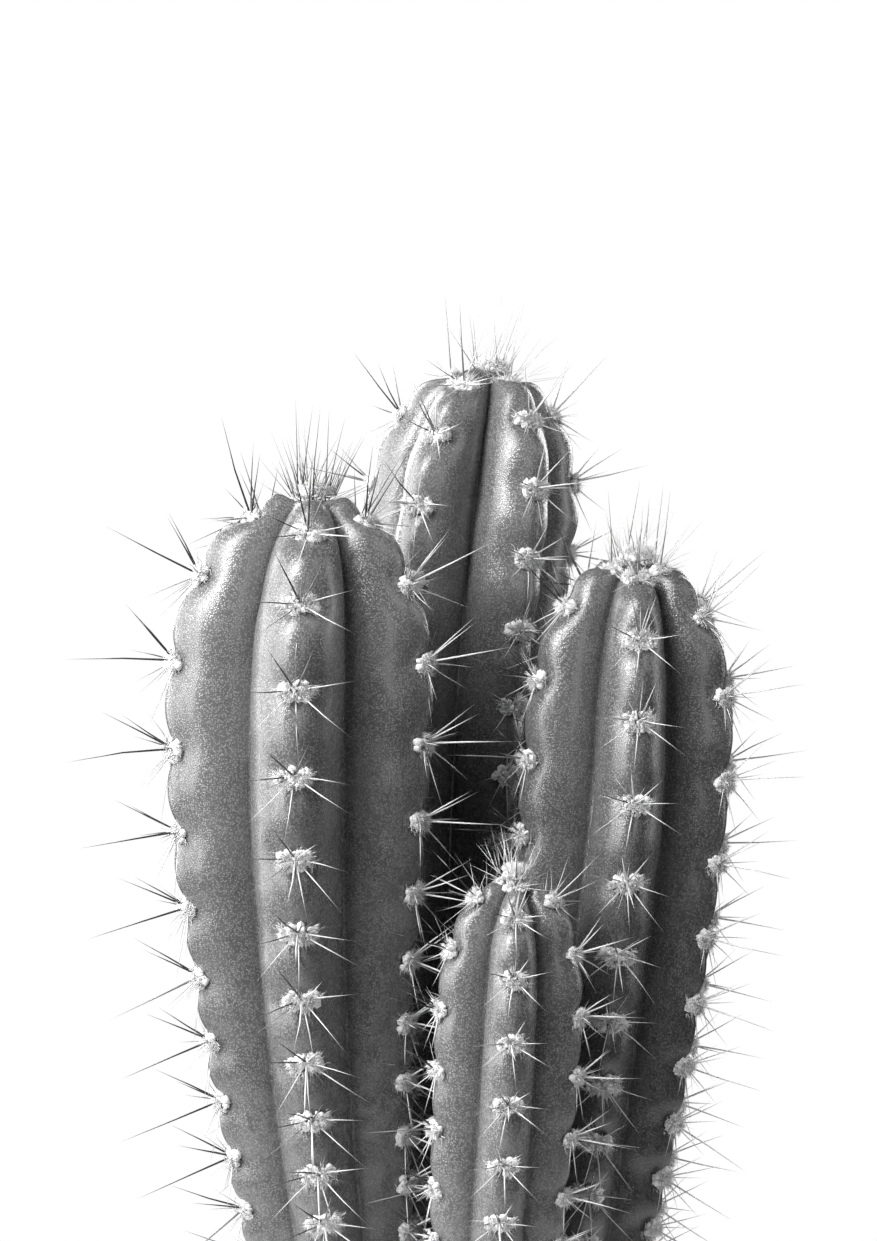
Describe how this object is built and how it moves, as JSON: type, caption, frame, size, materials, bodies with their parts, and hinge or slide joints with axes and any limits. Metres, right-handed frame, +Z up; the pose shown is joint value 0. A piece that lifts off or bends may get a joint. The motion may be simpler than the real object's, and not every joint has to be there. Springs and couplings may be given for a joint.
{
  "type": "clumping columnar cactus",
  "caption": "Clump of upright ribbed columnar cactus stems on one root crown, with woolly areoles and long spines along the ribs.",
  "frame": {"origin": "middle of the flat cut under the root crown, at ground level", "axes": "+Z up; the clump is seen from -Y, looking along +Y, with +X to the viewer's right"},
  "size_m": [0.2727, 0.2488, 0.486],
  "materials": {
    "cactus_skin": "waxy skin, satin",
    "cork": "dry, matt",
    "wool": "felted wool, matt",
    "spines": "horn, satin"
  },
  "bodies": {
    "root": {"root_crown": "cork", "stem_left": "cactus_skin", "stem_right": "cactus_skin", "stem_back": "cactus_skin", "stem_front": "cactus_skin"}
  },
  "joints": []
}
